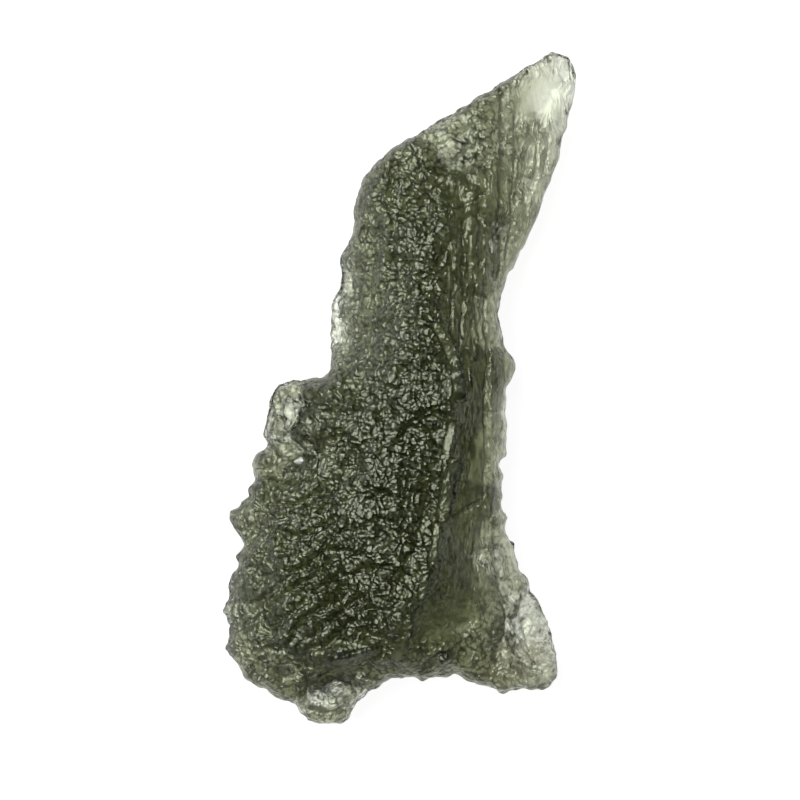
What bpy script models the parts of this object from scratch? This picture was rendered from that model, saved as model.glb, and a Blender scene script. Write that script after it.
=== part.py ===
"""A moldavite tektite: one natural piece of etched green glass, lying on its broad underside.

The stone is a craggy blade. Its rim is an outline with teeth, scallops and a stepped shoulder. Its two faces are
smooth surfaces through hand-set heights, and ridges, grooves, hollows and etch pits are cut into them.
The drawing is in millimetres, with x to the right, y up and z towards the viewer, and becomes metres at the end.
"""

import math
import random

import bmesh
import bpy
import numpy as np
from mathutils import Vector, noise
from mathutils.geometry import delaunay_2d_cdt

MM = 0.001

# Driving dimensions, in millimetres
LENGTH = 33.6
LEAST_THICKNESS = 0.5
RIM_LEVEL = 0.45
RIM_SET_IN = 0.07
GRID_STEP = 0.17
RIM_STEP = 0.20
TRIANGLES = 9400
SEED = 7

# Height of the rim's blunt edge and width of its rounding: share of the local thickness, least and most
RIM_EDGE = (0.45, 0.40, 1.70)
RIM_ROUNDING = (0.24, 0.22, 0.80)

# Etching is shallow close to the rim and where the glass is thin
ETCH_FROM_RIM = 0.8
DRAWN_FROM_RIM = 0.5
FULL_ETCH_THICKNESS = 2.0
LEAST_ETCH = 0.25

# The rim, clockwise from the tip, as the stone is seen from above
WING_EDGE = (
    (7.60, 16.82), (8.23, 16.64), (8.55, 16.42), (8.82, 15.75), (8.79, 15.17), (8.68, 14.32), (8.41, 13.43),
    (8.37, 12.94), (8.15, 12.53), (8.03, 12.05), (7.97, 11.47), (7.60, 10.48), (7.30, 9.77), (7.07, 9.01),
    (6.93, 8.60), (6.54, 7.76), (6.27, 7.13), (5.87, 6.38), (5.42, 5.71), (5.17, 5.08), (5.10, 4.55),
)
WAIST = (
    (4.89, 3.70), (5.12, 2.79), (5.22, 2.01), (5.48, 1.64), (5.68, 1.35), (5.70, 0.89), (5.59, 0.43),
    (5.34, 0.09), (5.24, -0.12),
)
RIGHT_TEETH = (
    (5.38, -0.52), (5.19, -1.12), (5.32, -1.40), (5.30, -1.60), (5.39, -1.87), (5.30, -2.50), (5.35, -2.75),
    (5.27, -3.01), (5.35, -3.39), (5.16, -3.47), (5.00, -3.64), (4.96, -3.99), (5.12, -4.19), (5.19, -4.39),
    (5.12, -4.59), (5.04, -4.90), (5.12, -5.48), (5.04, -5.65), (5.08, -6.14), (5.22, -6.30), (5.38, -6.46),
    (5.32, -6.74), (5.21, -6.97), (5.47, -7.58), (5.68, -7.75), (5.77, -8.47), (5.92, -8.75), (5.97, -9.15),
    (6.25, -9.33), (6.56, -9.77), (6.52, -10.12),
)
RIGHT_FOOT = (
    (6.84, -10.54), (7.28, -11.43), (7.67, -12.58), (7.93, -13.98), (7.87, -14.43), (7.57, -14.80),
    (7.28, -15.00), (7.00, -15.06), (6.52, -15.03), (5.90, -15.08), (5.43, -15.15), (5.04, -15.25),
    (4.51, -14.97), (4.03, -14.90), (3.68, -14.78), (3.27, -14.60), (3.00, -14.35),
)
NOTCH = (
    (2.63, -14.31), (2.34, -14.48), (1.90, -14.40), (1.51, -14.52), (1.35, -14.60), (1.05, -14.65),
    (0.81, -14.41), (0.45, -14.40), (0.04, -14.52), (-0.42, -14.45), (-0.64, -14.65), (-0.90, -14.70),
    (-1.15, -15.00), (-1.57, -15.10),
)
LEFT_FOOT = (
    (-1.85, -15.48), (-2.14, -15.69), (-2.40, -16.12), (-2.52, -16.47), (-2.75, -16.75), (-3.03, -16.83),
    (-4.02, -16.77), (-4.50, -16.65), (-4.75, -16.47), (-5.01, -16.15), (-5.17, -15.89), (-5.68, -15.64),
    (-6.25, -15.45), (-6.51, -15.19), (-6.73, -15.00), (-7.00, -14.98), (-7.40, -14.78), (-7.65, -14.59),
    (-7.82, -14.27), (-8.30, -13.66), (-8.50, -13.37),
)
LEFT_TEETH = (
    (-8.55, -13.13), (-8.76, -13.05), (-8.61, -12.93), (-8.54, -12.58), (-8.45, -12.15), (-8.54, -11.72),
    (-8.74, -11.43), (-8.87, -11.15), (-8.85, -10.92), (-8.68, -10.73), (-8.55, -10.47), (-8.52, -10.15),
    (-8.58, -9.87), (-8.49, -9.58), (-8.30, -9.20), (-8.10, -9.04), (-8.06, -8.75), (-8.10, -8.58),
    (-8.26, -8.46), (-8.04, -8.27), (-7.88, -8.05), (-7.75, -7.83), (-7.85, -7.67), (-8.07, -7.29),
    (-8.56, -6.65), (-8.47, -6.15), (-8.07, -5.97), (-7.88, -5.69), (-7.50, -5.53), (-7.43, -5.37),
    (-7.58, -5.12), (-7.58, -4.93), (-7.25, -4.61), (-7.31, -4.32), (-7.48, -3.84), (-7.34, -3.62),
    (-7.18, -3.28), (-6.92, -3.14), (-6.64, -3.01), (-6.59, -2.75), (-6.64, -2.57),
)
SHOULDER = (
    (-6.84, -2.28), (-6.78, -1.93), (-6.73, -1.58), (-6.59, -1.16), (-6.45, -0.40), (-6.29, -0.08),
    (-6.00, 0.21), (-5.62, 0.32), (-5.27, 0.40), (-4.82, 0.37), (-4.44, 0.51), (-4.15, 0.55), (-3.97, 0.47),
    (-3.77, 0.60), (-3.61, 0.79),
)
FLAKE_EDGE = (
    (-3.42, 1.01), (-3.45, 1.30), (-3.52, 2.40), (-3.42, 3.44), (-3.45, 4.07), (-3.28, 4.53), (-3.06, 4.88),
    (-2.97, 5.20), (-2.96, 5.97), (-3.01, 6.46), (-2.75, 6.95), (-2.50, 7.37), (-2.40, 7.80), (-2.31, 8.35),
    (-2.29, 9.05), (-2.15, 9.61), (-1.94, 10.18), (-1.70, 10.63), (-1.35, 10.98),
)
UPPER_SLOPE = (
    (-1.07, 11.40), (-0.43, 11.93), (0.27, 12.42), (0.73, 12.56), (1.11, 12.77), (1.57, 13.09), (1.80, 13.16),
    (2.07, 13.43), (2.55, 13.60), (3.01, 13.96), (3.41, 14.15), (3.77, 14.45), (4.08, 14.68), (4.57, 14.90),
    (5.02, 15.26), (5.38, 15.42), (6.00, 15.84), (6.35, 16.08), (6.72, 16.20), (7.03, 16.42), (7.21, 16.64),
    (7.48, 16.80),
)
RIM = (
    WING_EDGE + WAIST + RIGHT_TEETH + RIGHT_FOOT + NOTCH + LEFT_FOOT + LEFT_TEETH + SHOULDER + FLAKE_EDGE
    + UPPER_SLOPE
)

# Where the faces lie: x, y, height of the upper face and height of the under face
WING_HEIGHTS = (
    (8.0, 15.9, 2.5, 1.9), (6.5, 14.9, 2.8, 1.6), (8.0, 14.15, 2.5, 1.8), (6.75, 12.9, 2.8, 1.4),
    (7.5, 11.4, 2.6, 1.4), (6.25, 10.4, 2.9, 1.1), (6.5, 8.65, 2.6, 1.1), (5.6, 7.15, 2.8, 0.9),
)
UPPER_HEIGHTS = (
    (5.0, 14.65, 3.4, 1.4), (3.5, 13.4, 3.8, 1.0), (1.5, 12.15, 3.9, 0.9), (0.0, 11.15, 4.2, 0.8),
    (4.5, 11.9, 3.9, 0.6), (2.5, 10.65, 4.0, 0.5), (4.5, 9.4, 3.9, 0.5), (-1.25, 9.9, 3.9, 0.7),
    (1.0, 8.4, 5.0, 0.3),
)
MIDDLE_HEIGHTS = (
    (-1.5, 7.4, 3.6, 0.7), (1.0, 5.9, 5.4, 0.2), (3.5, 6.4, 4.6, 0.3), (-2.5, 5.9, 2.3, 1.0),
    (-2.75, 3.9, 2.1, 1.0), (-2.9, 2.15, 1.9, 1.1), (-1.75, 3.4, 3.4, 0.6), (0.0, 2.4, 5.4, 0.2),
    (2.5, 2.4, 5.5, 0.2), (4.25, 3.4, 4.0, 0.6), (4.75, 0.9, 3.6, 0.8), (2.75, -0.6, 5.9, 0.2),
    (-0.25, -1.6, 5.8, 0.2), (-2.75, -0.6, 4.9, 0.3),
)
SHOULDER_HEIGHTS = (
    (-5.25, -0.6, 3.4, 1.0), (-6.0, -2.6, 3.3, 1.0), (-4.0, -2.85, 4.2, 0.7), (-6.5, -4.35, 3.4, 0.9),
)
LEFT_HEIGHTS = (
    (-5.0, -5.6, 4.8, 0.4), (-7.25, -6.6, 3.5, 0.9), (-2.5, -5.6, 5.6, 0.2), (1.0, -4.6, 6.0, 0.2),
    (-6.3, -9.1, 4.8, 0.4), (-8.1, -10.1, 3.0, 1.1), (-3.0, -9.6, 5.6, 0.2), (0.0, -9.1, 5.9, 0.2),
    (-7.75, -12.6, 3.3, 0.9), (-5.5, -12.1, 5.0, 0.3), (-2.5, -12.35, 5.4, 0.3),
)
FOOT_HEIGHTS = (
    (-6.75, -14.35, 3.5, 0.8), (-4.5, -15.1, 3.1, 0.8), (-3.0, -15.6, 2.9, 0.9), (-3.75, -16.35, 3.2, 0.9),
    (-2.5, -13.2, 5.1, 0.3), (-2.2, -14.4, 3.2, 0.7), (-0.5, -13.6, 4.5, 0.4), (1.5, -13.85, 4.2, 0.5),
)
RIGHT_HEIGHTS = (
    (4.0, -2.6, 4.4, 0.4), (5.0, -2.6, 3.3, 0.8), (3.5, -6.1, 4.4, 0.3), (4.9, -5.6, 3.3, 0.8),
    (2.0, -7.6, 5.4, 0.2), (3.5, -9.1, 4.2, 0.3), (2.0, -11.6, 4.9, 0.3), (5.0, -9.6, 3.0, 0.9),
    (3.5, -13.6, 3.4, 0.6), (5.5, -11.6, 2.8, 0.8), (7.0, -12.1, 2.3, 1.0), (6.0, -13.85, 2.6, 0.8),
    (7.4, -13.85, 2.1, 1.0),
)
HEIGHTS = (
    WING_HEIGHTS + UPPER_HEIGHTS + MIDDLE_HEIGHTS + SHOULDER_HEIGHTS + LEFT_HEIGHTS + FOOT_HEIGHTS
    + RIGHT_HEIGHTS
)

# Ridges stand proud of the upper face and grooves are cut into it: line, height, half width, share with a flat top
CREST = ((2.75, 0.6), (2.7, -1.6), (2.45, -2.85), (2.5, -4.0), (2.15, -5.2), (1.9, -6.5), (1.65, -8.1),
         (1.2, -9.7), (0.15, -11.85), (-0.2, -13.1))
LEFT_RIB = ((-0.45, 11.65), (-0.65, 9.9), (-0.75, 7.9), (-1.15, 4.9), (-1.4, 2.9))
WING_CREASE = ((5.15, 15.3), (5.15, 13.9), (5.2, 11.9), (5.3, 10.4), (5.15, 8.65), (4.85, 7.15), (4.7, 5.9))
BLADE = ((3.7, -2.0), (3.95, -2.6), (3.95, -4.1), (3.8, -5.6))
BLADE_GROOVE = ((3.1, -0.6), (3.15, -2.6), (3.05, -4.6), (2.6, -6.1))
LONG_RIDGE = ((4.4, 2.9), (4.4, 1.15), (4.4, -1.6), (4.45, -3.6), (4.55, -6.6))
LONG_GROOVE = ((4.1, 4.4), (4.1, 1.4), (4.15, -0.6), (4.1, -3.1), (4.05, -5.6))
LEFT_FOLD = ((-4.1, -13.45), (-3.25, -13.2), (-2.4, -13.1), (-1.4, -12.9))
RIGHT_FOLD = ((1.25, -13.6), (2.0, -13.35), (2.75, -13.1))
FOOT_SEAM = ((-6.9, -13.95), (-5.6, -14.1), (-4.6, -13.9))
FOOT_CRACK = ((5.6, -11.5), (5.95, -12.6), (6.45, -13.6), (6.65, -14.2))
UPPER_LINES = (
    (CREST, 0.50, 0.60, 0.30), (LEFT_RIB, 0.22, 0.40, 0.0), (WING_CREASE, -0.55, 0.45, 0.0),
    (BLADE, 0.35, 0.30, 0.2), (BLADE_GROOVE, -0.50, 0.40, 0.0), (LONG_RIDGE, 0.35, 0.26, 0.2),
    (LONG_GROOVE, -0.45, 0.30, 0.0), (LEFT_FOLD, 0.5, 0.50, 0.2), (RIGHT_FOLD, 0.4, 0.40, 0.2),
    (FOOT_SEAM, -0.6, 0.40, 0.0), (FOOT_CRACK, -0.25, 0.25, 0.0),
)

# Sets of parallel grooves: first line, step from one to the next, count, depth, half width
FLUTES = (((3.05, 8.6), (3.15, 6.4), (3.0, 3.4), (3.1, 1.4)), (0.48, 0.0), 4, 0.42, 0.27)
FURROWS = (((-7.2, -10.9), (-5.6, -9.5), (-3.7, -8.1)), (0.42, -0.60), 6, 0.42, 0.32)
SHOULDER_FURROWS = (((-6.6, -5.6), (-5.0, -5.9), (-3.6, -5.2)), (0.12, -0.70), 3, 0.40, 0.34)
WING_STRIAE = (((7.6, 12.2), (7.1, 10.2), (6.6, 8.6), (5.9, 7.2)), (-0.50, 0.10), 3, 0.35, 0.26)
UNDER_FLUTES = (((-2.4, 8.0), (-1.6, 2.0), (-2.6, -5.0), (-4.8, -12.0)), (1.7, 0.0), 4, 0.35, 0.55)

# Bowls in the upper face: x, y, half length, half width, turn in degrees, depth
UPPER_BOWLS = (
    (6.9, 14.4, 1.25, 0.95, 35, 0.28), (6.1, 13.6, 0.6, 0.4, -50, 0.20),
    (2.1, -11.7, 1.9, 1.15, 10, 0.75), (-5.25, -1.35, 0.85, 0.65, 60, 0.75), (-4.05, -2.75, 0.7, 0.35, 65, 0.7),
    (-5.2, -3.7, 0.95, 0.45, 15, 0.75), (-5.75, -2.1, 0.45, 0.4, 0, 0.5), (-4.3, -0.75, 0.5, 0.35, 70, 0.55),
    (-6.2, -4.45, 0.6, 0.3, 20, 0.4), (-3.0, -14.9, 0.9, 0.6, 35, 0.5), (-3.9, -15.55, 1.0, 0.5, -10, 0.5),
    (-5.6, -13.75, 0.9, 0.3, 5, 0.6), (-2.1, -14.0, 0.6, 0.5, 20, 0.3), (2.55, -0.2, 0.5, 0.9, 0, 0.3),
    (3.7, -8.3, 0.9, 1.2, 0, 0.3), (1.6, 10.6, 1.6, 0.9, 30, 0.3), (5.3, 1.0, 0.3, 0.45, 0, 0.3),
)
# Lumps on the upper face: x, y, radius, height
UPPER_LUMPS = (
    (-6.85, -3.65, 0.45, 0.6), (-7.0, -4.95, 0.4, 0.5), (-6.35, -1.6, 0.4, 0.45), (-5.9, -0.1, 0.4, 0.4),
    (-4.0, 0.15, 0.5, 0.5), (2.75, 0.5, 0.6, 0.3), (-6.2, -14.6, 0.5, 0.5), (-4.5, -14.5, 0.5, 0.5),
    (1.1, -14.2, 0.4, 0.5), (6.0, -9.7, 0.35, 0.4), (5.1, 15.0, 0.4, 0.3),
)
UNDER_BOWLS = (
    (0.3, 4.6, 2.6, 1.5, 80, 0.7), (-0.8, -5.8, 2.4, 1.7, 60, 0.75), (3.4, -4.2, 1.6, 1.0, 85, 0.6),
    (3.4, 12.2, 1.8, 1.1, 30, 0.5), (-5.6, -6.8, 1.3, 1.0, 30, 0.5), (-5.5, -13.6, 1.2, 0.8, 10, 0.4),
    (5.3, -12.4, 1.2, 0.8, 50, 0.3), (0.6, -12.6, 1.4, 0.8, 0, 0.5), (7.0, 13.9, 1.2, 0.6, 70, 0.2),
    (-5.4, -1.2, 1.2, 0.9, 70, 0.9), (-5.0, -3.7, 1.0, 0.6, 10, 0.8), (4.4, 7.3, 2.0, 0.45, 90, 0.9),
    (4.8, -1.4, 2.8, 0.5, 90, 0.7), (-3.3, -15.1, 0.9, 0.8, 0, 0.7),
)

# Etch pits: how many, smallest and largest radius, depth as a share of the radius
UPPER_PITS = (900, 0.32, 0.85, 0.55)
UNDER_PITS = (420, 0.40, 1.00, 0.45)
ROLL_WAVE = 2.6
ROLL_HEIGHT = 0.22
CRUMB_WAVE = 0.9
CRUMB_HEIGHT = 0.13
WANDER_WAVE = 1.3
WANDER = 0.32

# Each kind of unevenness reads its own layer of the noise
ROLL_LAYERS = {"upper": (0.0, 9.0), "under": (4.0, 13.0)}
WANDER_LAYERS = (20.0, 31.0)

# Worn facets on which the stone rests: x, y, radius
REST_PADS = (
    (2.2, 9.6, 1.1), (-2.6, -0.9, 0.9), (3.2, 0.6, 0.9), (0.4, -4.6, 1.5), (-4.6, -10.6, 1.2), (3.0, -9.9, 1.1),
)
PAD_DEPTH = 0.12
PAD_BLEND = 1.5
FLOOR_BLOCK = 40.0

GLASS_COLOUR = (0.13, 0.17, 0.06, 1.0)
GLASS_ROUGHNESS = 0.12
GLASS_IOR = 1.49


def clear_scene():
    for obj in list(bpy.data.objects):
        bpy.data.objects.remove(obj, do_unlink=True)


def smooth_loop(points, step):
    """The closed curve through the points (Catmull-Rom), as points about one step apart."""
    knots = np.array(points, float)
    made = []
    for i in range(len(knots)):
        before, start, end, after = (knots[(i + k) % len(knots)] for k in (-1, 0, 1, 2))
        parts = max(1, round(float(np.linalg.norm(end - start)) / step))
        for k in range(parts):
            t = k / parts
            made.append(0.5 * (
                2 * start + (end - before) * t
                + (2 * before - 5 * start + 4 * end - after) * t**2
                + (3 * start - before - 3 * end + after) * t**3
            ))
    return np.array(made)


def distance_to_line(points, line):
    """Distance of each point to the nearest place on an open line."""
    corners = np.array(line, float)
    nearest = np.full(len(points), np.inf)
    for start, end in zip(corners[:-1], corners[1:]):
        along = end - start
        share = np.clip((points - start) @ along / (along @ along), 0, 1)
        gap = np.linalg.norm(points - start - share[:, None] * along, axis=1)
        nearest = np.minimum(nearest, gap)
    return nearest


def inside(points, loop):
    """True for each point within the closed loop."""
    crossings = np.zeros(len(points), int)
    for (x1, y1), (x2, y2) in zip(loop, np.roll(loop, -1, axis=0)):
        spans = (points[:, 1] < y1) != (points[:, 1] < y2)
        at = x1 + (points[:, 1] - y1) * (x2 - x1) / ((y2 - y1) or 1e-12)
        crossings += spans & (points[:, 0] < at)
    return crossings % 2 == 1


def thin_plate(places, values, points):
    """The smooth sheet through the values at the places, read at the points."""
    def bend(a, b):
        squared = ((a[:, None] - b[None]) ** 2).sum(2)
        return squared * np.log(squared + 1e-9)

    plane = np.column_stack([np.ones(len(places)), places])
    whole = np.block([[bend(places, places), plane], [plane.T, np.zeros((3, 3))]])
    weights = np.linalg.solve(whole, np.concatenate([values, np.zeros(3)]))
    return bend(points, places) @ weights[:-3] + np.column_stack([np.ones(len(points)), points]) @ weights[-3:]


def line_relief(points, line, height, half_width, flat):
    """A ridge (or, with a negative height, a groove) that follows a line and tapers off at both its ends."""
    share = 1 - distance_to_line(points, line) / half_width
    return height * np.clip(share / (1 - flat), 0, 1) ** 1.3


def groove_set(points, lines):
    """Parallel grooves, each one a step beside the last."""
    first, step, count, depth, half_width = lines
    relief = np.zeros(len(points))
    for k in range(count):
        moved = [(x + k * step[0], y + k * step[1]) for x, y in first]
        relief = np.minimum(relief, line_relief(points, moved, -depth, half_width, 0.0))
    return relief


def bowl(points, x, y, half_length, half_width, turn, depth):
    """A conchoidal bowl with a crisp lip."""
    c, s = math.cos(math.radians(turn)), math.sin(math.radians(turn))
    across = points - (x, y)
    long = (across[:, 0] * c + across[:, 1] * s) / half_length
    wide = (across[:, 1] * c - across[:, 0] * s) / half_width
    return -depth * np.clip(1 - long**2 - wide**2, 0, 1)


def lump(points, x, y, radius, height):
    reach = np.linalg.norm(points - (x, y), axis=1) / radius
    return height * np.exp(-(reach**2))


def pits(points, loop, count, least, most, share, seed):
    """Round etch pits scattered over the face. Where pits meet, a sharp edge is left between them."""
    dice = random.Random(seed)
    low, high = loop.min(0), loop.max(0)
    relief = np.zeros(len(points))
    for _ in range(count):
        x, y = dice.uniform(low[0], high[0]), dice.uniform(low[1], high[1])
        radius = least + (most - least) * dice.random() ** 2
        relief = np.minimum(relief, bowl(points, x, y, radius, radius * 0.8, dice.uniform(0, 180), radius * share))
    return relief


def rolling(points, wave, height, shift):
    """Soft natural unevenness."""
    return np.array([height * noise.noise(Vector((x / wave, y / wave, shift))) for x, y in points])


def unevenness(points, side):
    coarse, fine = ROLL_LAYERS[side]
    return rolling(points, ROLL_WAVE, ROLL_HEIGHT, coarse) + rolling(points, CRUMB_WAVE, CRUMB_HEIGHT, fine)


def wandering(points):
    """The points pushed about a little, so that what is drawn on them runs less straight."""
    return points + np.column_stack([rolling(points, WANDER_WAVE, WANDER, shift) for shift in WANDER_LAYERS])


def round_off(depth_in, width):
    """How far a face has risen from the rim, from 0 to 1: a quarter ellipse."""
    return np.sqrt(np.clip(1 - (1 - np.clip(depth_in / width, 0, 1)) ** 2, 0, 1))


def share_of(thickness, rule):
    """A share of the thickness, kept between the least and the most."""
    share, least, most = rule
    return np.clip(share * thickness, least, most)


def faces_of(points, loop):
    """Heights of the upper and the under face at the points, in millimetres over the floor."""
    stations = np.array(HEIGHTS)
    upper = thin_plate(stations[:, :2], stations[:, 2], points)
    under = thin_plate(stations[:, :2], stations[:, 3], points)
    thickness = np.maximum(upper - under, LEAST_THICKNESS)
    rim_height = under + RIM_LEVEL * thickness
    depth_in = distance_to_line(points, np.vstack([loop, loop[:1]]))
    rise = round_off(depth_in, share_of(thickness, RIM_ROUNDING))
    calm = np.clip(depth_in / ETCH_FROM_RIM, 0, 1) * np.clip(thickness / FULL_ETCH_THICKNESS, LEAST_ETCH, 1)

    drawn = wandering(points)
    lines = sum(line_relief(drawn, *spec) for spec in UPPER_LINES)
    grooves = sum(groove_set(drawn, spec) for spec in (FLUTES, FURROWS, SHOULDER_FURROWS, WING_STRIAE))
    bowls = sum(bowl(drawn, *spec) for spec in UPPER_BOWLS)
    lumps = sum(lump(drawn, *spec) for spec in UPPER_LUMPS)
    etched = pits(drawn, loop, *UPPER_PITS, SEED)
    upper_relief = calm * (grooves + etched + unevenness(points, "upper"))
    upper_relief += np.clip(depth_in / DRAWN_FROM_RIM, 0, 1) * (lines + bowls + lumps)

    hollows = sum(bowl(drawn, *spec) for spec in UNDER_BOWLS)
    under_cuts = hollows + groove_set(drawn, UNDER_FLUTES) + pits(drawn, loop, *UNDER_PITS, SEED + 1)
    under_relief = calm * (unevenness(points, "under") - under_cuts)

    top = rim_height + rise * (under + thickness - rim_height) + upper_relief
    bottom = rim_height - rise * (rim_height - under) + under_relief
    half_edge = share_of(thickness, RIM_EDGE) / 2
    top = np.maximum(top, rim_height + half_edge)
    bottom = np.minimum(bottom, rim_height - half_edge)
    for x, y, radius in REST_PADS:
        reach = np.linalg.norm(points - (x, y), axis=1) / radius
        bottom += (-PAD_DEPTH - bottom) * np.clip(PAD_BLEND - reach, 0, 1)
    return top, bottom, rim_height


def scattered_grid(loop, step):
    """Points on a slightly uneven triangular grid within the loop, half a step or more from the rim."""
    dice = random.Random(SEED + 2)
    stray = 0.15 * step
    row_step = step * math.sqrt(3) / 2
    low, high = loop.min(0), loop.max(0)
    spots = []
    for j in range(int((high[1] - low[1]) / row_step) + 1):
        for i in range(int((high[0] - low[0]) / step) + 1):
            x = low[0] + (i + 0.5 * (j % 2)) * step + dice.uniform(-stray, stray)
            y = low[1] + j * row_step + dice.uniform(-stray, stray)
            spots.append((x, y))
    spots = np.array(spots)
    spots = spots[inside(spots, loop)]
    return spots[distance_to_line(spots, np.vstack([loop, loop[:1]])) > step / 2]


def stone_mesh():
    """Both faces over one flat triangulation, joined round the rim by a narrow rounded band."""
    loop = smooth_loop(RIM, RIM_STEP)
    inner = scattered_grid(loop, GRID_STEP)
    flat = np.vstack([loop, inner])
    count = len(loop)
    rim_edges = [(i, (i + 1) % count) for i in range(count)]
    triangles = np.array(delaunay_2d_cdt([Vector(p) for p in flat], rim_edges, [], 0, 1e-6, False)[2])
    triangles = triangles[inside(flat[triangles].mean(1), loop)]
    ahead, behind = np.roll(loop, -1, axis=0), np.roll(loop, 1, axis=0)
    along = (ahead - behind) / np.linalg.norm(ahead - behind, axis=1)[:, None]
    inward = np.column_stack([along[:, 1], -along[:, 0]])
    top, bottom, rim_height = faces_of(flat, loop)
    set_in = flat.copy()
    set_in[:count] += RIM_SET_IN * inward

    mesh = bmesh.new()
    upper = [mesh.verts.new((x, y, z)) for (x, y), z in zip(set_in, top)]
    under = [mesh.verts.new((x, y, z)) for (x, y), z in zip(set_in, bottom)]
    edge = [mesh.verts.new((x, y, z)) for (x, y), z in zip(loop, rim_height)]
    for a, b, c in triangles:
        mesh.faces.new((upper[a], upper[b], upper[c]))
        mesh.faces.new((under[c], under[b], under[a]))
    for i in range(count):
        j = (i + 1) % count
        mesh.faces.new((upper[i], upper[j], edge[j], edge[i]))
        mesh.faces.new((edge[i], edge[j], under[j], under[i]))
    bmesh.ops.triangulate(mesh, faces=mesh.faces[:])
    bmesh.ops.recalc_face_normals(mesh, faces=mesh.faces[:])
    return mesh


def place(mesh):
    """Scales the drawing to its length in metres, with the middle of its plan at the origin."""
    spots = np.array([v.co for v in mesh.verts])
    low, high = spots.min(0), spots.max(0)
    scale = LENGTH / (high[1] - low[1]) * MM
    for v in mesh.verts:
        v.co.x = (v.co.x - (low[0] + high[0]) / 2) * scale
        v.co.y = (v.co.y - (low[1] + high[1]) / 2) * scale
        v.co.z *= scale


def glass():
    material = bpy.data.materials.new("tektite_glass")
    material.use_nodes = True
    shader = material.node_tree.nodes["Principled BSDF"]
    shader.inputs["Base Color"].default_value = GLASS_COLOUR
    shader.inputs["Roughness"].default_value = GLASS_ROUGHNESS
    shader.inputs["Metallic"].default_value = 0.0
    shader.inputs["IOR"].default_value = GLASS_IOR
    shader.inputs["Transmission Weight"].default_value = 1.0
    return material


def floor_cutter():
    """A block whose top is the floor: it wears the rest pads flat."""
    mesh = bpy.data.meshes.new("floor_cutter")
    shape = bmesh.new()
    bmesh.ops.create_cube(shape, size=FLOOR_BLOCK * MM)
    bmesh.ops.translate(shape, verts=shape.verts[:], vec=(0, 0, -FLOOR_BLOCK * MM / 2))
    shape.to_mesh(mesh)
    shape.free()
    cutter = bpy.data.objects.new("floor_cutter", mesh)
    cutter.hide_render = True
    cutter.display_type = "WIRE"
    bpy.context.scene.collection.objects.link(cutter)
    return cutter


def make_stone():
    shape = stone_mesh()
    place(shape)
    whole = len(shape.faces)
    mesh = bpy.data.meshes.new("tektite")
    shape.to_mesh(mesh)
    shape.free()
    mesh.materials.append(glass())
    stone = bpy.data.objects.new("tektite", mesh)
    bpy.context.scene.collection.objects.link(stone)
    fewer = stone.modifiers.new("fewer", "DECIMATE")
    fewer.ratio = TRIANGLES / whole
    worn = stone.modifiers.new("worn_flat", "BOOLEAN")
    worn.operation = "DIFFERENCE"
    worn.solver = "EXACT"
    worn.object = floor_cutter()
    return stone


clear_scene()
make_stone()
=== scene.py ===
"""Looks of a moldavite tektite: clear olive-green natural glass, etched all over, on a white light table.

The stone is re-made from its solid as fine mesh, and the etching is cut into that mesh: cupules with sharp
edges, long flutes, grooves, cracks and flat strips that catch the light. Sizes, and places on the stone's
plan, are in millimetres, with x to the right and y towards the thin pointed wing.
"""

import math
from types import SimpleNamespace

import bpy
import numpy as np
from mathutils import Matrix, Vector, noise
from mathutils.bvhtree import BVHTree


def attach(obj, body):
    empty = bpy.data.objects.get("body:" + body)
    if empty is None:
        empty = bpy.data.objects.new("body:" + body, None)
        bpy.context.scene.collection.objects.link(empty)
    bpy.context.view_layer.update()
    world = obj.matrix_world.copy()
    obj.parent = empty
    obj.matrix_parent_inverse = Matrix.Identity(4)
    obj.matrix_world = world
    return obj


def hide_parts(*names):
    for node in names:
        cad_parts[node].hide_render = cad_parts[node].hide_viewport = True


MM = 0.001

# Camera: what stands in the middle of the picture, and how wide the picture is at that distance
PLAN_CENTRE = (0.02, -0.6)
MIDDLE_HEIGHT = 2.0
VIEW_WIDTH = 39.95
VIEW_DISTANCE = 420.0
SENSOR = 36.0

# Fine mesh
VOXEL = 0.098
SMOOTHING = 8
TRIANGLES = 190000

# Glass at least this thick carries the relief in full, and thinner glass no less than this share of it
FULL_RELIEF_THICKNESS = 2.2
LEAST_RELIEF = 0.3
# Glass left above a hollow of the underside
WINDOW_GLASS = 0.7

# Volume absorption: density per metre, and the colour of the light that passes
ABSORB_DENSITY = 820.0
ABSORB_COLOUR = (0.335, 0.365, 0.095, 1.0)
GLASS_IOR = 1.49
# Least and most roughness, and the size of the clouds in which it changes
ROUGHNESS = (0.275, 0.30)
FROST_SIZE = 1.6
# Surface colours: clear, brown, and the colour of painted shade
REFLECTION_TINT = (0.92, 1.0, 0.76, 1.0)
CLEAR_SURFACE = (0.98, 1.0, 0.96, 1.0)
BROWN_SURFACE = (0.86, 0.79, 0.6, 1.0)
PAINTED_SHADE_COLOUR = (0.002, 0.003, 0.001, 1.0)

# Etching cut into the mesh: cell size, depth, stretch across and along, turn in degrees, shift of the cells
LARGE_PITS = (1.15, 0.15, (1.0, 1.0), 0, 5.0)
ROUND_PITS = (0.40, 0.08, (1.0, 1.0), 0, 0.0)
FURROW_PITS = (0.40, 0.09, (1.6, 0.9), 40, 2.0)
FLUTE_PITS = (0.38, 0.08, (0.85, 2.6), 0, 4.0)
WING_PITS = (0.34, 0.06, (0.8, 3.2), -14, 6.0)
# How far the edge of a cell is from its middle, as a share of the cell size
CELL_EDGE = 0.72

# How the etching and the lines wander: length of the waves, reach, and a shift for each of the three waves
ETCHING_DRIFT = (0.9, 0.22, (3.1, 7.7, 12.3))
LINE_DRIFT = (0.7, 0.1, (41.0, 47.0, 53.0))

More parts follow.
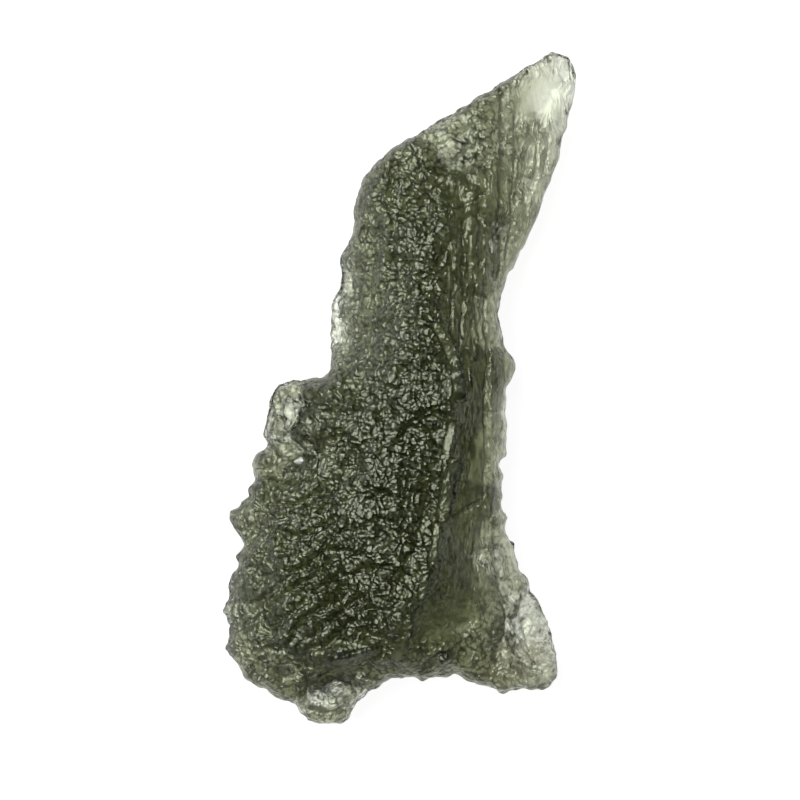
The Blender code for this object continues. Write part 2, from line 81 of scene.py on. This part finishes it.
# Finer etching as bump: cell size, stretch, lean, and hollow as a share of the size
ROUND_FACETS = (0.27, (1.0, 1.0, 1.0), 0.25, 0.45)
LONG_FACETS = (0.26, (0.8, 2.6, 1.0), 0.22, 0.42)
FACET_TURN = (0.6, 0.5, 0.4)
SWAY_WAVE = 0.9
SWAY_REACH = 0.75
CRINKLE_SIZE = 0.14
CRINKLE_HEIGHT = 0.035
# How many times as high the facets of the underside are
UNDERSIDE_BUMP = 2.0
# From this to this distance from its middle a facet darkens, between these amounts: painted shade along the
# edges between hollows, where the real edges turn the light aside
EDGE_REACH = (0.40, 0.62)
EDGE_SHADE = (0.0, 0.9)

# Grooves (height below 0) and ridges: half width, height, then the places they pass
WING_LINES = (
    (0.14, -0.22, (5.0, 15.0), (5.05, 12.4), (4.95, 9.4), (4.75, 7.4), (4.8, 5.5)),
    (0.12, -0.16, (5.7, 13.9), (5.7, 11.4), (5.55, 8.65), (5.25, 6.3)),
    (0.10, -0.10, (6.4, 12.9), (6.2, 9.4)),
    (0.10, -0.10, (7.0, 13.4), (6.65, 9.9)),
    (0.10, -0.10, (7.55, 13.15), (7.15, 10.4)),
    (0.12, 0.12, (5.4, 14.4), (5.7, 13.7), (6.4, 13.4), (7.25, 13.8)),
)
SCOOP_LINES = (
    (0.16, -0.20, (1.25, 9.9), (2.0, 9.25), (2.85, 9.0), (3.65, 9.25), (4.35, 9.8)),
    (0.12, 0.16, (-0.4, 11.9), (-0.55, 10.65), (-0.75, 9.3)),
    (0.10, 0.12, (-0.7, 11.65), (-0.9, 9.9)),
    (0.12, -0.20, (-1.7, 7.9), (-2.0, 4.4), (-2.5, 1.8)),
)
FLUTE_LINES = (
    (0.18, -0.24, (4.85, 7.9), (4.9, 6.65), (4.8, 5.4)),
    (0.12, -0.18, (4.15, 5.25), (4.3, 4.4), (4.2, 3.15), (4.35, 1.9), (4.2, -0.6), (4.3, -3.1), (4.2, -5.85)),
    (0.12, -0.22, (3.7, 5.9), (3.75, 4.4), (3.65, 2.9), (3.8, 1.4)),
    (0.12, -0.22, (3.15, 8.15), (3.05, 6.3), (3.2, 4.4), (3.0, 2.15), (3.1, -0.35)),
    (0.10, -0.18, (3.95, 9.15), (3.9, 7.4), (4.0, 6.0)),
    (0.12, -0.20, (2.6, 6.65), (2.7, 5.15), (2.5, 3.4), (2.8, 1.9)),
    (0.18, -0.22, (3.05, -1.85), (3.05, -3.1), (2.95, -4.5)),
    (0.10, 0.16, (4.45, 1.15), (4.5, -1.6), (4.4, -4.1)),
    (0.10, -0.16, (4.7, -4.6), (4.6, -7.1), (4.8, -9.35)),
    (0.15, -0.25, (4.0, -5.6), (2.75, -6.35)),
)
SHOULDER_LINES = (
    (0.12, -0.26, (-4.85, -0.2), (-4.55, -1.1), (-4.1, -1.65), (-4.35, -2.4), (-3.9, -3.2), (-4.2, -4.1)),
    (0.12, -0.26, (-6.0, -2.6), (-5.2, -2.75), (-4.7, -3.2)),
    (0.12, -0.26, (-6.5, -0.5), (-6.15, -1.5), (-6.6, -2.6), (-5.9, -3.4)),
    (0.10, -0.20, (-5.75, -0.6), (-5.2, -1.2), (-5.5, -2.1)),
    (0.12, 0.22, (-4.0, -3.1), (-3.25, -1.8)),
)
FOOT_LINES = (
    (0.28, -0.25, (-3.75, -13.6), (-2.75, -13.35), (-1.5, -12.85)),
    (0.28, -0.25, (1.25, -14.0), (2.0, -13.35), (2.6, -13.1)),
    (0.15, -0.30, (-4.75, -15.85), (-3.75, -16.0), (-2.75, -15.9)),
    (0.22, -0.35, (-7.5, -14.2), (-7.0, -14.4)),
    (0.20, -0.35, (-6.2, -14.0), (-5.6, -14.15)),
    (0.22, -0.35, (-4.8, -14.2), (-4.6, -15.0)),
    (0.10, -0.20, (5.0, -10.6), (5.3, -11.2), (5.25, -12.2), (5.0, -12.6)),
    (0.10, -0.20, (5.5, -11.5), (6.0, -12.6), (6.4, -13.35), (6.6, -14.0)),
    (0.10, -0.20, (6.1, -10.6), (5.95, -11.35), (6.05, -12.1), (6.5, -13.1)),
)
LINES = WING_LINES + SCOOP_LINES + FLUTE_LINES + SHOULDER_LINES + FOOT_LINES
# Painted shade in the grooves: a groove this deep is as dark as grooves get
DARK_GROOVE_DEPTH = 0.12
GROOVE_SHADE = 0.65

# Flat strips of the crest and of the flank that catch the light: half width, then the places they pass
STRIPS = (
    (0.24, (1.8, 3.0), (2.35, 2.15), (2.65, 1.3)),
    (0.20, (2.7, 0.9), (2.9, -0.5)),
    (0.20, (2.6, -1.6), (2.3, -3.1)),
    (0.22, (2.6, -3.7), (2.3, -5.1), (2.05, -6.35)),
    (0.16, (1.8, -7.0), (1.6, -8.6)),
    (0.16, (1.25, -9.4), (1.05, -10.25)),
    (0.22, (0.35, -11.6), (0.2, -12.1)),
    (0.22, (0.1, -12.5), (-0.15, -13.35)),
    (0.15, (3.4, 9.4), (3.4, 7.9)),
    (0.14, (3.5, 7.45), (3.5, 6.3)),
    (0.14, (2.5, 6.05), (2.5, 5.0)),
    (0.13, (3.15, 4.5), (3.2, 3.95)),
    (0.14, (3.35, 1.9), (3.3, -0.1)),
)
# Rise per millimetre from left to right at which a strip sends the main light up to the eye
LIT_SLOPE = 0.3

# The crest, from the neck down to the notch between the feet
CREST = (
    (2.0, 3.4), (2.9, 0.4), (2.9, -0.8), (2.6, -1.8), (2.5, -4.2), (2.0, -6.6), (1.1, -10.3), (0.0, -12.6),
)
# How often the wall on its right is smoothed, and where across the crest that fades in and out
CREST_SMOOTHING = 220
CREST_FADE_IN = (-1.0, -0.3)
CREST_FADE_OUT = (1.6, 2.6)

# Thin places, hollowed from below: place, radii, turn, and how far the underside rises in the middle
WINDOWS = (
    (4.3, 7.2, 1.4, 3.2, 0, 1.1),
    (3.9, 3.6, 1.9, 4.4, 0, 1.5),
    (3.9, -2.2, 1.8, 4.6, 0, 1.3),
    (3.6, -8.6, 2.7, 4.0, 0, 1.8),
    (2.7, -12.0, 2.6, 2.0, 0, 0.8),
    (2.8, 11.9, 3.0, 3.2, 0, 1.1),
    (5.9, -12.2, 2.3, 3.6, 0, 1.1),
    (-5.4, -1.5, 2.3, 2.8, 0, 1.9),
    (-4.9, -3.4, 2.0, 1.6, 20, 1.7),
    (-6.2, -4.4, 0.9, 0.6, 0, 0.7),
    (-2.75, 5.3, 1.0, 3.5, 0, 0.4),
    (-3.5, -14.9, 2.8, 2.0, 10, 1.8),
    (-5.7, -13.0, 2.2, 1.3, 10, 1.6),
    (-8.0, -10.6, 1.4, 3.2, 0, 0.6),
    (7.3, -12.2, 0.6, 2.0, 0, 0.3),
)

# Patches of painted shade, broken up by noise: place, radii, turn, strength
SHADE_SPOTS = (
    (-6.8, -3.6, 0.5, 0.4, 0, 0.8), (-2.6, -13.3, 1.5, 0.5, 15, 1.0), (1.9, -13.5, 1.0, 0.5, 30, 1.0),
    (-7.2, -14.4, 0.6, 0.3, 0, 0.7), (-5.9, -14.1, 0.45, 0.2, 0, 0.7), (-4.7, -14.6, 0.35, 0.5, 0, 0.7),
    (6.1, -15.0, 0.5, 0.2, 0, 0.8), (7.15, -14.85, 0.4, 0.2, 0, 0.8), (7.7, -14.4, 0.2, 0.4, 0, 0.7),
    (7.4, 16.4, 0.5, 0.3, 30, 0.7), (8.5, 13.1, 0.2, 0.7, 0, 0.6), (-6.9, -5.0, 0.5, 0.35, 0, 0.6),
    (-6.4, -0.6, 0.2, 0.9, -10, 0.6), (-3.9, 0.3, 0.6, 0.3, 0, 0.6), (0.4, 6.6, 1.6, 2.0, 0, 0.25),
    (-2.0, -9.8, 3.2, 3.2, 0, 0.45), (-0.4, -2.5, 2.4, 4.0, 0, 0.4),
)
# Places with thin winding creases of painted shade, with a calmer surface, and with a brown tint, given in
# the same way
SHADED_CREASES = (
    (-5.3, -2.0, 2.2, 3.0, 0, 1.0), (-6.4, -12.8, 2.6, 2.2, 30, 0.9), (-3.6, -14.9, 2.0, 1.5, 0, 0.9),
    (6.0, -11.6, 2.4, 3.6, 0, 0.6), (1.9, -13.4, 2.0, 1.0, 20, 0.9), (-8.0, -9.0, 1.4, 5.0, 0, 0.7),
    (4.9, -5.0, 0.8, 4.0, 0, 0.6), (4.9, 4.0, 0.6, 4.0, 0, 0.6), (-2.8, 9.0, 1.6, 3.5, -20, 0.5),
)
CALM = ((6.9, 14.4, 1.5, 1.2, 35, 0.7), (2.1, -11.7, 2.0, 1.2, 10, 0.4), (3.9, -3.6, 0.6, 2.0, 0, 0.8))
BROWN = ((5.6, -13.7, 2.0, 1.4, 20, 0.7),)


def smooth_step(low, high, value):
    """0 below the low limit, 1 above the high one, and a soft rise between them."""
    t = np.clip((value - low) / (high - low), 0, 1)
    return t * t * (3 - 2 * t)


def spot(points, x, y, radius_x, radius_y, turn, core):
    """1 in the core of an oval on the plan, falling softly to 0 at its edge."""
    c, s = math.cos(math.radians(turn)), math.sin(math.radians(turn))
    dx, dy = points[:, 0] - x, points[:, 1] - y
    along, across = (dx * c + dy * s) / radius_x, (dy * c - dx * s) / radius_y
    return 1 - smooth_step(core, 1.0, np.hypot(along, across))


def strongest(points, ovals, core=0.6):
    """The most that any of the ovals gives at each point, and 0 outside all of them."""
    return np.maximum.reduce([strength * spot(points, *oval, core) for *oval, strength in ovals])


def waves(points, size, shift):
    """Soft noise at each point, between about -1 and 1."""
    return np.array([noise.noise(Vector(p)) for p in points / size + shift])


def drifted(points, wave, reach, shifts):
    """Places pushed about softly, each way by waves of its own."""
    return points + reach * np.column_stack([waves(points, wave, shift) for shift in shifts])


def pits(points, size, depth, stretch, turn, shift):
    """Bowls that meet in sharp edges, as deep below the surface as the edges stand over it."""
    c, s = math.cos(math.radians(turn)), math.sin(math.radians(turn))
    x, y, z = points.T
    turned = np.column_stack([(x * c + y * s) / stretch[0], (y * c - x * s) / stretch[1], z])
    turned = turned / size + shift
    distance = np.array([noise.voronoi(Vector(p))[0][0] for p in turned])
    return depth * (np.clip(distance / CELL_EDGE, 0, 1) ** 2 - 0.5)


def zones(points):
    """Where each kind of etching lies on the plan, from 0 to 1."""
    x, y, _ = points.T
    flank = smooth_step(1.6, 3.2, x) * smooth_step(-12.5, -9.0, y) * (1 - smooth_step(9.5, 12.0, y))
    wing = smooth_step(4.8, 5.6, x) * smooth_step(6.0, 8.5, y)
    lower_left = smooth_step(1.0, 3.0, -x) * (1 - smooth_step(-6.0, -4.0, y))
    return flank, wing, lower_left, strongest(points, CALM)


def etching(points):
    """How far the glass surface moves along its normal where the glass is thick."""
    bent = drifted(points, *ETCHING_DRIFT)
    flank, wing, lower_left, calm = zones(points)
    large = pits(bent, *LARGE_PITS) * smooth_step(-0.25, 0.35, waves(points, 3.0, 21.0))
    relief = pits(bent, *ROUND_PITS) * (1 - flank) * (1 - lower_left)
    relief += pits(bent, *FURROW_PITS) * lower_left
    relief += pits(bent, *FLUTE_PITS) * flank
    relief = relief * (1 - wing) + pits(bent, *WING_PITS) * wing
    return (relief + large * (1 - wing)) * (1 - calm)


def distance_to_line(points, line):
    """Distance on the plan to a line that runs down the stone, below 0 on the line's left."""
    plan = points[:, :2]
    nearest = np.full(len(plan), np.inf)
    for start, end in zip(line[:-1], line[1:]):
        start, way = np.array(start), np.subtract(end, start)
        offset = plan - start
        along = np.clip(offset @ way / (way @ way), 0, 1)
        distance = np.linalg.norm(offset - along[:, None] * way, axis=1)
        side = np.sign(offset[:, 1] * way[0] - offset[:, 0] * way[1])
        nearest = np.where(distance < np.abs(nearest), side * distance, nearest)
    return nearest


def line_relief(points):
    """Sharp grooves and ridges along the lines."""
    height = np.zeros(len(points))
    for half_width, most, *line in LINES:
        height += most * np.clip(1 - np.abs(distance_to_line(points, line)) / half_width, 0, 1)
    return height


def strip_relief(points, normals):
    """Strips turned towards the main light, whatever the slope of the stone there, and where they lie."""
    least_upward = 0.3
    own_slope = -normals[:, 0] / np.maximum(normals[:, 2], least_upward)
    height, strip = np.zeros(len(points)), np.zeros(len(points))
    for half_width, *line in STRIPS:
        across = distance_to_line(points, line)
        within = np.abs(across) < half_width
        height = np.where(within, across * (LIT_SLOPE - own_slope), height)
        strip = np.maximum(strip, within)
    return height, strip


def darkness(points):
    """How much painted shade darkens the surface, from 0 to 1: in the grooves, in the shaded patches and in
    the winding creases.
    """
    grooves = GROOVE_SHADE * np.clip(-line_relief(points) / DARK_GROOVE_DEPTH, 0, 1)
    shaded_patches = strongest(points, SHADE_SPOTS) * smooth_step(-0.3, 0.1, waves(points, 0.45, 61.0))
    winding = 1 - smooth_step(0.03, 0.13, np.abs(waves(points, 0.55, 67.0)))
    return np.maximum.reduce([grooves, shaded_patches, strongest(points, SHADED_CREASES) * winding])


def hollowed(points):
    """How far the underside rises in the thin places."""
    return strongest(points, WINDOWS, core=0.0)


def vectors(mesh, name):
    """One vector for each point of a mesh, as rows."""
    rows = np.empty(len(mesh.vertices) * 3)
    mesh.vertices.foreach_get(name, rows)
    return rows.reshape(-1, 3)


def draft_of(mesh):
    """An object that lends a mesh its modifiers for a while."""
    draft = bpy.data.objects.new("draft", mesh)
    bpy.context.scene.collection.objects.link(draft)
    return draft


def applied(draft):
    """The mesh that a draft's modifiers make. The draft itself is removed."""
    graph = bpy.context.evaluated_depsgraph_get()
    mesh = bpy.data.meshes.new_from_object(draft.evaluated_get(graph))
    bpy.data.objects.remove(draft)
    return mesh


def smoothed(draft, times, group=""):
    """Lets a draft be smoothed some times over, in a group of its points or in all of them."""
    soft = draft.modifiers.new("soft", "SMOOTH")
    soft.vertex_group = group
    soft.factor = 0.5
    soft.iterations = times
    return draft


def fine_mesh(node):
    """The node's solid in millimetres, as small even faces."""
    drawing = node.data.copy()
    drawing.vertices.foreach_set("co", (vectors(drawing, "co") / MM).ravel())
    draft = draft_of(drawing)
    fine = draft.modifiers.new("fine", "REMESH")
    fine.mode = "VOXEL"
    fine.voxel_size = VOXEL
    return applied(smoothed(draft, SMOOTHING))


def eased_crest(mesh):
    """The wall to the right of the crest made gentler, because a steep wall mirrors the table."""
    across = distance_to_line(vectors(mesh, "co"), CREST)
    weights = smooth_step(*CREST_FADE_IN, across) * (1 - smooth_step(*CREST_FADE_OUT, across))
    draft = draft_of(mesh)
    wall = draft.vertex_groups.new(name="wall")
    for vertex in mesh.vertices:
        if vertex.normal.z > 0 and weights[vertex.index] > 0:
            wall.add([vertex.index], weights[vertex.index], "REPLACE")
    return applied(smoothed(draft, CREST_SMOOTHING, wall.name))


def lighter_underside(mesh):
    """Fewer faces on the side that lies on the table."""
    draft = draft_of(mesh)
    under = draft.vertex_groups.new(name="under")
    under.add([v.index for v in mesh.vertices if v.normal.z < -0.1], 1.0, "REPLACE")
    fewer = draft.modifiers.new("fewer", "DECIMATE")
    fewer.vertex_group = under.name
    fewer.ratio = TRIANGLES / (2 * len(mesh.polygons))
    return applied(draft)


def thickness_under(mesh, points, normals):
    """How much glass lies under each point. A ray starts a little inside, so that it misses its own face."""
    start_inside = 0.03
    tree = BVHTree.FromPolygons([v.co for v in mesh.vertices], [tuple(f.vertices) for f in mesh.polygons])
    reach = []
    for point, normal in zip(points, normals):
        inwards = -Vector(normal)
        distance = tree.ray_cast(Vector(point) + inwards * start_inside, inwards)[3]
        reach.append(distance or 0.0)
    return np.array(reach)


def skin_of(mesh):
    """What the carving and the material need to know about each point of the stone."""
    points, normals = vectors(mesh, "co"), vectors(mesh, "normal")
    bent = drifted(points, *LINE_DRIFT)
    upper = smooth_step(-0.2, 0.3, normals[:, 2])
    strip_height, strip = strip_relief(bent, normals)
    return SimpleNamespace(
        points=points, normals=normals, bent=bent, upper=upper, strip=strip * upper,
        strip_height=strip_height, thickness=thickness_under(mesh, points, normals),
    )


def carved(skin):
    """Where the points lie once etching, grooves and strips are cut and the thin places hollowed."""
    depth = np.clip(skin.thickness / FULL_RELIEF_THICKNESS, LEAST_RELIEF, 1)
    # Lines fade out on steep walls, and the etching is weaker on the strips
    level = smooth_step(0.3, 0.7, np.abs(skin.normals[:, 2]))
    relief = depth * (etching(skin.points) * (1 - 0.7 * skin.strip) + level * line_relief(skin.bent))
    relief += skin.strip * skin.strip_height
    points = skin.points + skin.normals * relief[:, None]
    to_spare = np.maximum(skin.thickness - WINDOW_GLASS, 0)
    points[:, 2] += np.minimum(hollowed(skin.points), to_spare) * (1 - skin.upper)
    points[:, 2] = np.maximum(points[:, 2], 0)
    return points


def marks(skin, points):
    """What the material reads at each point, from 0 to 1."""
    flank, wing, _, calm = zones(points)
    clear = np.clip(hollowed(skin.points), 0, 1)
    # Fine etching is weaker at calm, thin and hollowed places and on the strips, and so is the painted shade
    # along facet edges
    etched = (1 - calm) * np.clip(skin.thickness / 1.6, 0.55, 1) * (1 - 0.4 * clear) * (1 - 0.55 * skin.strip)
    edge_shading = skin.upper * (1 - calm) * (1 - skin.strip) * (1 - 0.4 * flank)
    edge_shading *= 0.45 + 0.55 * smooth_step(0.6, 3.0, skin.thickness)
    # Painted shade in grooves, patches and creases, on the upper side and off the strips
    dark = 0.95 * darkness(skin.bent) * skin.upper * (1 - skin.strip)
    return {
        "fluted": np.maximum(flank, wing),
        "etched": etched,
        "under": 1 - skin.upper,
        # Light that crosses the surface is tinted by the square root of the base colour, hence the square
        "shade": 1 - (1 - dark) ** 2,
        "edge_shading": edge_shading,
        "brown": strongest(points, BROWN) * skin.upper,
    }


def stone_piece():
    """The stone's solid as fine smooth mesh with the etching cut into it."""
    mesh = eased_crest(fine_mesh(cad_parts["tektite"]))
    skin = skin_of(mesh)
    points = carved(skin)
    mesh.vertices.foreach_set("co", (points * MM).ravel())
    for name, amount in marks(skin, points).items():
        mesh.attributes.new(name, "FLOAT", "POINT").data.foreach_set("value", amount)
    mesh.update()
    mesh = lighter_underside(mesh)
    mesh.shade_smooth()
    mesh.name = "stone_glass"
    mesh.materials.clear()
    mesh.materials.append(tektite_glass())
    stone = bpy.data.objects.new("stone_glass", mesh)
    bpy.context.scene.collection.objects.link(stone)
    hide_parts("tektite")
    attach(stone, "root")


def feed(tree, socket, value):
    """Gives a socket another node's output, or a plain value."""
    if isinstance(value, bpy.types.NodeSocket):
        tree.links.new(value, socket)
    else:
        socket.default_value = value


def number(tree, operation, *given):
    """The result of a sum with numbers."""
    node = tree.nodes.new("ShaderNodeMath")
    node.operation = operation
    for socket, value in zip(node.inputs, given):
        feed(tree, socket, value)
    return node.outputs["Value"]


def vector(tree, operation, *given):
    """The result of a sum with vectors."""
    node = tree.nodes.new("ShaderNodeVectorMath")
    node.operation = operation
    for socket, value in zip(node.inputs, given):
        feed(tree, socket, value)
    return node.outputs["Value" if operation == "DOT_PRODUCT" else "Vector"]


def mixed(tree, share, none, all_of_it, kind="FLOAT"):
    """One number or colour where the share is 0, and the other where it is 1."""
    node = tree.nodes.new("ShaderNodeMix")
    node.data_type = kind
    feed(tree, node.inputs["Factor"], share)
    feed(tree, node.inputs["A"], none)
    feed(tree, node.inputs["B"], all_of_it)
    return node.outputs["Result"]


def ranged(tree, value, given, wanted):
    """A value carried from one range to another."""
    carry = tree.nodes.new("ShaderNodeMapRange")
    carry.inputs["From Min"].default_value, carry.inputs["From Max"].default_value = given
    carry.inputs["To Min"].default_value, carry.inputs["To Max"].default_value = wanted
    tree.links.new(value, carry.inputs["Value"])
    return carry.outputs["Result"]


def attribute(tree, name):
    """A number that the mesh carries at each point."""
    value = tree.nodes.new("ShaderNodeAttribute")
    value.attribute_name = name
    return value.outputs["Fac"]


def clouds(tree, place, size, detail):
    """Soft noise of a size in millimetres."""
    node = tree.nodes.new("ShaderNodeTexNoise")
    node.inputs["Scale"].default_value = 1 / (size * MM)
    node.inputs["Detail"].default_value = detail
    tree.links.new(place, node.inputs["Vector"])
    return node


def swayed(tree, place):
    """Places pushed about softly, so that what is laid out on them looks grown and not set in rows."""
    drift = clouds(tree, place, SWAY_WAVE, 2.0).outputs["Color"]
    return vector(tree, "MULTIPLY_ADD", drift, (SWAY_REACH * MM,) * 3, place)


def turned_askew(tree, place):
    """Places turned out of line with the stone, so that its flat parts don't cut cells in rows."""
    turn = tree.nodes.new("ShaderNodeVectorRotate")
    turn.rotation_type = "EULER_XYZ"
    turn.inputs["Rotation"].default_value = FACET_TURN
    tree.links.new(place, turn.inputs["Vector"])
    return turn.outputs["Vector"]


def facets(tree, place, size, stretch, lean, hollow):
    """Height, in metres, of small hollows that each lean their own way, and the distance to their middles."""
    squeezed = vector(tree, "DIVIDE", place, stretch)
    cell = tree.nodes.new("ShaderNodeTexVoronoi")
    cell.inputs["Scale"].default_value = 1 / (size * MM)
    tree.links.new(squeezed, cell.inputs["Vector"])
    offset = vector(tree, "SUBTRACT", squeezed, cell.outputs["Position"])
    way = vector(tree, "MULTIPLY_ADD", cell.outputs["Color"], (2 * lean,) * 3, (-lean,) * 3)
    slope = vector(tree, "DOT_PRODUCT", offset, way)
    square = number(tree, "POWER", cell.outputs["Distance"], 2.0)
    height = number(tree, "MULTIPLY_ADD", square, hollow * size * MM, slope)
    return height, cell.outputs["Distance"]


def fine_etching(tree, place):
    """Height of the fine facets with crinkles on them, and the distance to the facets' middles."""
    pushed = swayed(tree, place)
    round_height, round_reach = facets(tree, turned_askew(tree, pushed), *ROUND_FACETS)
    long_height, long_reach = facets(tree, pushed, *LONG_FACETS)
    fluted = attribute(tree, "fluted")
    height = mixed(tree, fluted, round_height, long_height)
    taller = ranged(tree, attribute(tree, "under"), (0, 1), (1, UNDERSIDE_BUMP))
    height = number(tree, "MULTIPLY", height, taller)
    crinkles = clouds(tree, place, CRINKLE_SIZE, 1.0).outputs["Fac"]
    height = number(tree, "MULTIPLY_ADD", crinkles, CRINKLE_HEIGHT * MM, height)
    return height, mixed(tree, fluted, round_reach, long_reach)


def surface_colour(tree, reach):
    """Nearly colourless, brown in one lobe, and darkened by painted shade in the grooves, patches and creases
    and along the edges between upper hollows.
    """
    edges = ranged(tree, reach, EDGE_REACH, EDGE_SHADE)
    edges = number(tree, "MULTIPLY", edges, attribute(tree, "edge_shading"))
    dark = number(tree, "MAXIMUM", edges, attribute(tree, "shade"))
    browned = mixed(tree, attribute(tree, "brown"), CLEAR_SURFACE, BROWN_SURFACE, "RGBA")
    return mixed(tree, dark, browned, PAINTED_SHADE_COLOUR, "RGBA")


def tektite_glass():
    """Clear green glass: its green is absorption alone, and the finest etching is bump."""
    material = bpy.data.materials.new("tektite_glass")
    material.use_nodes = True
    tree = material.node_tree
    place = tree.nodes.new("ShaderNodeTexCoord").outputs["Object"]
    height, reach = fine_etching(tree, place)
    bump = tree.nodes.new("ShaderNodeBump")
    bump.inputs["Distance"].default_value = 1.0
    tree.links.new(attribute(tree, "etched"), bump.inputs["Strength"])
    tree.links.new(height, bump.inputs["Height"])
    frost = clouds(tree, place, FROST_SIZE, 4.0).outputs["Fac"]

    shader = tree.nodes["Principled BSDF"]
    shader.inputs["Transmission Weight"].default_value = 1.0
    shader.inputs["IOR"].default_value = GLASS_IOR
    shader.inputs["Specular Tint"].default_value = REFLECTION_TINT
    tree.links.new(surface_colour(tree, reach), shader.inputs["Base Color"])
    tree.links.new(ranged(tree, frost, (0.35, 0.7), ROUGHNESS), shader.inputs["Roughness"])
    tree.links.new(bump.outputs["Normal"], shader.inputs["Normal"])

    absorb = tree.nodes.new("ShaderNodeVolumeAbsorption")
    absorb.inputs["Color"].default_value = ABSORB_COLOUR
    absorb.inputs["Density"].default_value = ABSORB_DENSITY
    tree.links.new(absorb.outputs["Volume"], tree.nodes["Material Output"].inputs["Volume"])
    return material


def floor():
    """A white light table: pale, plain and faintly glowing, so that light comes up through the glass."""
    half, gap = 2000 * MM, 0.02 * MM
    corners = [(-half, -half, 0), (half, -half, 0), (half, half, 0), (-half, half, 0)]
    mesh = bpy.data.meshes.new("floor")
    mesh.from_pydata(corners, [], [(0, 1, 2, 3)])
    table = bpy.data.objects.new("floor", mesh)
    table.location.z = -gap
    bpy.context.scene.collection.objects.link(table)
    material = bpy.data.materials.new("floor_white")
    material.use_nodes = True
    shader = material.node_tree.nodes["Principled BSDF"]
    shader.inputs["Base Color"].default_value = (0.08, 0.08, 0.08, 1.0)
    shader.inputs["Roughness"].default_value = 0.9
    shader.inputs["Emission Color"].default_value = (1.0, 1.0, 1.0, 1.0)
    shader.inputs["Emission Strength"].default_value = 0.94
    mesh.materials.append(material)


def soft_light(name, azimuth, elevation, distance, size, power):
    """A square soft box that looks at the stone. Angles are in degrees, power in watts."""
    light = bpy.data.lights.new(name, "AREA")
    light.size = size * MM
    light.energy = power
    light.color = (1.0, 1.0, 0.98)
    lamp = bpy.data.objects.new(name, light)
    a, e = math.radians(azimuth), math.radians(elevation)
    way = Vector((math.cos(a) * math.cos(e), math.sin(a) * math.cos(e), math.sin(e)))
    lamp.location = way * distance * MM
    lamp.rotation_euler = (-way).to_track_quat("-Z", "Y").to_euler()
    bpy.context.scene.collection.objects.link(lamp)


def lighting():
    """A broad main light from the upper left, a weak one from the lower right, and a nearly dark room."""
    world = bpy.data.worlds.new("studio")
    world.use_nodes = True
    background = world.node_tree.nodes["Background"]
    background.inputs["Color"].default_value = (1.0, 1.0, 1.0, 1.0)
    background.inputs["Strength"].default_value = 0.004
    bpy.context.scene.world = world
    soft_light("key", azimuth=150, elevation=50, distance=300, size=340, power=3.8)
    soft_light("fill", azimuth=-50, elevation=60, distance=300, size=150, power=0.1)


def camera():
    """Straight down, as in the photograph, through a long lens."""
    lens = bpy.data.cameras.new("camera")
    lens.sensor_width = SENSOR
    lens.lens = SENSOR * VIEW_DISTANCE / VIEW_WIDTH
    lens.clip_start = 10 * MM
    view = bpy.data.objects.new("camera", lens)
    view.location = (PLAN_CENTRE[0] * MM, PLAN_CENTRE[1] * MM, (VIEW_DISTANCE + MIDDLE_HEIGHT) * MM)
    bpy.context.scene.collection.objects.link(view)
    bpy.context.scene.camera = view


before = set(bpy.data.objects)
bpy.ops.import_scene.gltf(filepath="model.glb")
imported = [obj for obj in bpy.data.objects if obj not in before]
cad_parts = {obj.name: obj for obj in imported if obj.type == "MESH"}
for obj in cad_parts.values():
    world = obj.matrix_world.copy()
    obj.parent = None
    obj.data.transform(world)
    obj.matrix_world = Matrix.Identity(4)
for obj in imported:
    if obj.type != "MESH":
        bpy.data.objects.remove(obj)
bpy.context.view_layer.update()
camera()
floor()
lighting()
stone_piece()
bpy.context.scene.view_settings.view_transform = "Standard"
bpy.context.scene.cycles.use_denoising = True
